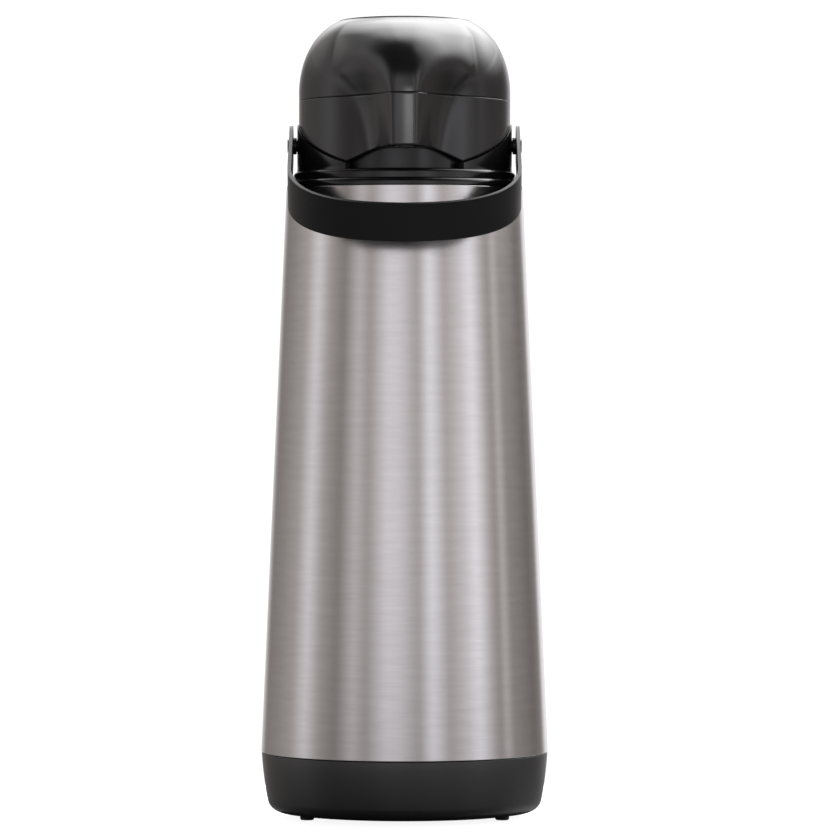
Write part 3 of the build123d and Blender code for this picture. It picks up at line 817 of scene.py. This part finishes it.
strap = {"width": 20.0, "thickness": 1.8, "outerHalf": 58.0, "reach": 90.0, "frontBow": 4.0, "corner": 38.0,
         "drop": 27.6, "edgeRound": 0.5, "bendSteps": 40}


def strapCentre():
    # seen square on, the middle line of half the strap: straight arm, wide corner, gently bowed front
    half = strap["outerHalf"] - strap["thickness"] / 2
    reach = strap["reach"] - strap["thickness"] / 2
    bow, corner = strap["frontBow"], strap["corner"]
    start = Vector((half, reach - bow - corner))
    controls = [start, Vector((half, reach - bow - corner * 0.35)),
                Vector((half - corner * 0.42, reach - bow * 0.55)),
                Vector((half - corner * 0.95, reach - bow * 0.28)), Vector((0, reach))]
    points = [Vector((half, start.y * i / 10)) for i in range(10)]
    for i in range(strap["bendSteps"] + 1):
        t = i / strap["bendSteps"]
        level = controls[:]
        while len(level) > 1:
            level = [a.lerp(b, t) for a, b in zip(level, level[1:])]
        points.append(level[0])
    return points


def makeStrap():
    bm = bmesh.new()
    right = strapCentre()
    line = right + [Vector((-p.x, p.y)) for p in reversed(right[:-1])]
    heelSteps = 8
    heel = [(line[0].x, -strap["width"] / 2 * sin(pi / 2 * k / heelSteps)) for k in range(heelSteps, 0, -1)]
    whole = [Vector(p) for p in heel] + line + [Vector((-x, y)) for x, y in reversed(heel)]
    verts = [bm.verts.new((p.x * mm, p.y * mm, -strap["width"] / 2 * mm)) for p in whole]
    edges = [bm.edges.new((a, b)) for a, b in zip(verts, verts[1:])]
    rows = 12
    for _ in range(rows):
        made = bmesh.ops.extrude_edge_only(bm, edges=edges)["geom"]
        edges = [g for g in made if isinstance(g, bmesh.types.BMEdge)]
        fresh = [g for g in made if isinstance(g, bmesh.types.BMVert)]
        bmesh.ops.translate(bm, verts=fresh, vec=(0, 0, strap["width"] / rows * mm))
        edges = [e for e in edges if all(v in fresh for v in e.verts)]
    for v in bm.verts:  # the arms end in half rounds about the pins
        if v.co.y < -1e-7:
            reach = min(1, -v.co.y / mm / (strap["width"] / 2))
            v.co.z *= max(0.04, sqrt(max(0, 1 - reach * reach)))
    bmesh.ops.recalc_face_normals(bm, faces=bm.faces[:])
    bmesh.ops.solidify(bm, geom=bm.faces[:], thickness=strap["thickness"] * mm)
    for v in bm.verts:
        v.co.y = -v.co.y
    rims = [e for e in bm.edges if len(e.link_faces) == 2 and e.calc_face_angle(0) > radians(50)]
    bmesh.ops.bevel(bm, geom=rims, offset=strap["edgeRound"] * mm, segments=3, profile=0.5, affect="EDGES",
                    material=-1, clamp_overlap=True)
    place = Matrix.Translation((0, 0, pivotZ * mm)) @ Matrix.Rotation(radians(strap["drop"]), 4, "X")
    bmesh.ops.transform(bm, matrix=place, verts=bm.verts[:])
    finishPiece("strapHandle", bm, "handle", strapBlack, ["handle_band"], sharpAngle=40)


pin = {"radius": 3.0, "bossRadius": 4.2, "capRadius": 3.6, "capHeight": 0.15}


def makePin(side):
    node = "handle_pin_right" if side > 0 else "handle_pin_left"
    low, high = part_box(node)
    start, end = (low.x, high.x) if side > 0 else (-high.x, -low.x)
    start, end = start / mm, end / mm
    bossStart = collar["earRadius"] + 0.3
    arm = strap["outerHalf"] - strap["thickness"]
    bm = bmesh.new()
    points = [
        (0, start), (pin["radius"], start), (pin["radius"], bossStart), (pin["bossRadius"], bossStart),
        (pin["bossRadius"], arm), (pin["radius"], arm), (pin["radius"], end), (pin["capRadius"], end),
        (pin["capRadius"] - 0.2, end + pin["capHeight"]), (0, end + pin["capHeight"]),
    ]
    outlineFace(bm, points, [(1, 0.4), (3, 0.4), (4, 0.3), (7, 0.06), (8, 0.1)], 4)
    turnOutline(bm, 64)
    turn = Matrix.Translation((0, 0, pivotZ * mm)) @ Matrix.Rotation(radians(90 * side), 4, "Y")
    bmesh.ops.transform(bm, matrix=turn, verts=bm.verts[:])
    name = "pinRight" if side > 0 else "pinLeft"
    finishPiece(name, bm, "handle", strapBlack, [node], sharpAngle=45)


makeStrap()
makePin(1)
makePin(-1)


# bellows and spring, built open; the real ones close up as the button goes down

bellows = {"folds": 6, "outer": 32.3, "inner": 26.5, "wall": 1.0, "travel": 22.0}
spring = {"radius": 16.0, "wire": 0.8, "turns": 7}


def pumpSpan():
    low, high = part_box("bellows")
    return low.z / mm, high.z / mm


def makeBellowsSkin():
    low, high = pumpSpan()
    pitch = (high - low) / bellows["folds"]
    outside = []
    inside = []
    valley, ridge, wall = bellows["inner"], bellows["outer"], bellows["wall"]
    for fold in range(bellows["folds"]):
        z = low + fold * pitch
        outside += [(valley, z + 0.05), (ridge, z + pitch / 2)]
        inside += [(valley - wall, z + 0.05), (ridge - wall, z + pitch / 2)]
    outside.append((valley, high - 0.05))
    inside.append((valley - wall, high - 0.05))
    points = outside + inside[::-1]
    rounds = [(i, 0.9) for i in range(1, len(outside) - 1)]
    piece = turnedPiece("bellowsSkin", points, rounds, "head", bellowsPlastic, ["bellows"],
                        128)
    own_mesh(piece)


def makeSpringCoil():
    low, high = pumpSpan()
    wire = spring["wire"]
    bottom, top = low + wire, high - wire
    perTurn = 40
    steps = spring["turns"] * perTurn
    bm = bmesh.new()
    made = bmesh.ops.create_circle(bm, cap_ends=False, radius=wire * mm, segments=14)
    bmesh.ops.rotate(bm, verts=made["verts"], cent=(0, 0, 0), matrix=Matrix.Rotation(pi / 2, 3, "X"))
    bmesh.ops.translate(bm, verts=made["verts"], vec=(spring["radius"] * mm, 0, bottom * mm))
    bmesh.ops.spin(bm, geom=bm.verts[:] + bm.edges[:], cent=(0, 0, 0), axis=(0, 0, 1),
                   dvec=(0, 0, (top - bottom) / steps * mm), angle=2 * pi * spring["turns"], steps=steps,
                   use_merge=False, use_duplicate=False)
    ends = [e for e in bm.edges if e.is_boundary]
    bmesh.ops.holes_fill(bm, edges=ends, sides=0)
    piece = finishPiece("springCoil", bm, "head", springSteel, ["return_spring"])
    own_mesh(piece)


makeBellowsSkin()
makeSpringCoil()


# floor, light and camera

studio = {
    "floorRadius": 0.2, "floorPale": (0.93, 0.93, 0.93), "floorBounce": (0.12, 0.12, 0.12), "floorGlow": 0.9,
    "cameraDistance": 2.311, "eyeHeight": 0.2044, "lens": 201.2, "shiftX": 0.0137, "shiftY": -0.0156,
}


def makeFloor():
    bm = bmesh.new()
    bmesh.ops.create_circle(bm, cap_ends=True, segments=96, radius=studio["floorRadius"])
    mesh = bpy.data.meshes.new("studioFloor")
    bm.to_mesh(mesh)
    bm.free()
    floor = bpy.data.objects.new("studioFloor", mesh)
    bpy.context.scene.collection.objects.link(floor)
    material, nodes, links, shader = startMaterial("paleFloor")
    path = nodes.new("ShaderNodeLightPath")
    seen = path.outputs["Is Camera Ray"]
    colour = mixColours(nodes, links, seen, studio["floorBounce"], studio["floorPale"])
    links.new(colour, shader.inputs["Base Color"])
    shader.inputs["Roughness"].default_value = 0.05
    shader.inputs["Specular IOR Level"].default_value = 0.7
    shader.inputs["Emission Color"].default_value = (1, 1, 1, 1)
    glow = mathNode(nodes, links, "MULTIPLY", seen, studio["floorGlow"])
    links.new(glow, shader.inputs["Emission Strength"])
    mesh.materials.append(material)


# brightness round the horizon by angle from the camera's side, + to the pot's right: tall boxes and dark gaps
softBoxes = [
    (-180, 0.9), (-166, 0.60), (-150, 0.18), (-126, 0.28), (-105, 0.42), (-89, 0.88), (-74, 0.40),
    (-58, 0.22), (-43, 0.66), (-32, 0.38), (-15, 0.93), (-4, 0.86), (12, 0.44), (23, 1.14), (37, 0.48),
    (52, 0.78), (64, 1.15), (78, 0.50), (85, 0.28), (92, 0.60), (100, 0.27), (131, 0.12), (146, 0.20),
    (157, 0.9), (180, 0.9),
]
canopy = {
    "sideTop": 0.47, "sideEnd": 0.66, "gap": 0.06, "box": (0.50, 0.45, 0.74), "boxFrom": 0.76,
    "boxTo": 0.98, "boxLevel": 2.6, "backFrom": 0.1, "backTo": 0.5, "backLevel": 2.6, "leftDim": 0.25,
    "leftFrom": -0.5, "leftTo": -0.25, "gateFrom": 0.2, "gateTo": 0.5, "underFrom": -0.35,
    "underTo": -0.1, "underLevel": 0.12, "seenWhite": (1.1, 1.1, 1.1, 1),
}


def makeWorld():
    world = bpy.data.worlds.new("studioWorld")
    bpy.context.scene.world = world
    world.use_nodes = True
    nodes, links = world.node_tree.nodes, world.node_tree.links
    background = nodes["Background"]
    coords = nodes.new("ShaderNodeTexCoord")
    split = nodes.new("ShaderNodeSeparateXYZ")
    links.new(coords.outputs["Generated"], split.inputs[0])
    toFront = mathNode(nodes, links, "MULTIPLY", split.outputs["Y"], -1.0)
    around = mathNode(nodes, links, "ARCTAN2", split.outputs["X"], toFront)
    place = rangeNode(nodes, links, around, 0.0, 1.0, -pi, pi)
    ramp = nodes.new("ShaderNodeValToRGB")
    links.new(place, ramp.inputs[0])
    stops = ramp.color_ramp.elements
    stops.remove(stops[1])
    for i, (angle, level) in enumerate(softBoxes):
        stop = stops[0] if i == 0 else stops.new(angle / 360 + 0.5)
        stop.position = angle / 360 + 0.5
        cool = min(1, max(0, level))
        stop.color = (level * (1.14 - 0.13 * cool), level, level * (0.92 + 0.15 * cool), 1)
    # above the tall boxes come a dark gap, a large box over the back right and a bright back wall
    lowSide = rangeNode(nodes, links, split.outputs["Z"], 1.0, 0.0, canopy["sideTop"], canopy["sideEnd"])
    toBox = nodes.new("ShaderNodeVectorMath")
    toBox.operation = "DOT_PRODUCT"
    toBox.inputs[1].default_value = canopy["box"]
    links.new(coords.outputs["Generated"], toBox.inputs[0])
    boxPart = rangeNode(nodes, links, toBox.outputs["Value"], 0.0, canopy["boxLevel"], canopy["boxFrom"],
                        canopy["boxTo"])
    backPart = rangeNode(nodes, links, split.outputs["Y"], 0.0, canopy["backLevel"], canopy["backFrom"],
                         canopy["backTo"])
    leftPart = rangeNode(nodes, links, split.outputs["X"], canopy["leftDim"], 1.0, canopy["leftFrom"],
                         canopy["leftTo"])
    gate = rangeNode(nodes, links, split.outputs["Z"], 0.0, 1.0, canopy["gateFrom"], canopy["gateTo"])
    high = mathNode(nodes, links, "MULTIPLY_ADD", backPart, leftPart, boxPart)
    roofLevel = mathNode(nodes, links, "MULTIPLY_ADD", high, gate, canopy["gap"])
    under = rangeNode(nodes, links, split.outputs["Z"], canopy["underLevel"], 1.0, canopy["underFrom"],
                      canopy["underTo"])
    walls = nodes.new("ShaderNodeVectorMath")
    walls.operation = "SCALE"
    links.new(ramp.outputs["Color"], walls.inputs[0])
    links.new(mathNode(nodes, links, "MULTIPLY", lowSide, under), walls.inputs["Scale"])
    whole = nodes.new("ShaderNodeVectorMath")
    whole.operation = "ADD"
    links.new(walls.outputs[0], whole.inputs[0])
    links.new(roofLevel, whole.inputs[1])
    path = nodes.new("ShaderNodeLightPath")
    backdrop = nodes.new("ShaderNodeMix")
    backdrop.data_type = "RGBA"
    links.new(path.outputs["Is Camera Ray"], backdrop.inputs["Factor"])
    links.new(whole.outputs[0], backdrop.inputs["A"])
    backdrop.inputs["B"].default_value = canopy["seenWhite"]
    links.new(backdrop.outputs["Result"], background.inputs["Color"])
    background.inputs["Strength"].default_value = 1.0


spoutCard = {
    "size": 0.10, "height": 0.16, "place": (0.05, -0.52, 0.36), "aim": (0, -0.075, 0.345), "watts": 0.16,
}


def makeSpoutCard():
    # a card beside the camera that lights only the head, so the front of the spout stands out
    data = bpy.data.lights.new("spoutCard", "AREA")
    data.shape = "RECTANGLE"
    data.size = spoutCard["size"]
    data.size_y = spoutCard["height"]
    data.energy = spoutCard["watts"]
    card = bpy.data.objects.new("spoutCard", data)
    card.location = spoutCard["place"]
    aim = Vector(spoutCard["aim"]) - card.location
    card.rotation_euler = aim.to_track_quat("-Z", "Y").to_euler()
    card.visible_camera = False
    lit = bpy.data.collections.new("litBySpoutCard")
    for piece in bpy.context.scene.objects:
        if piece.name in ("headLower", "headUpper"):
            lit.objects.link(piece)
    card.light_linking.receiver_collection = lit
    bpy.context.scene.collection.objects.link(card)


def makeCamera():
    data = bpy.data.cameras.new("studioCamera")
    data.lens = studio["lens"]
    data.sensor_width = 36
    data.shift_x = studio["shiftX"]
    data.shift_y = studio["shiftY"]
    camera = bpy.data.objects.new("studioCamera", data)
    camera.location = (0, -studio["cameraDistance"], studio["eyeHeight"])
    camera.rotation_euler = (radians(90), 0, 0)
    bpy.context.scene.collection.objects.link(camera)
    bpy.context.scene.camera = camera


makeFloor()
makeWorld()
makeSpoutCard()
makeCamera()
bpy.context.scene.view_settings.view_transform = "Standard"
print("studio ready")
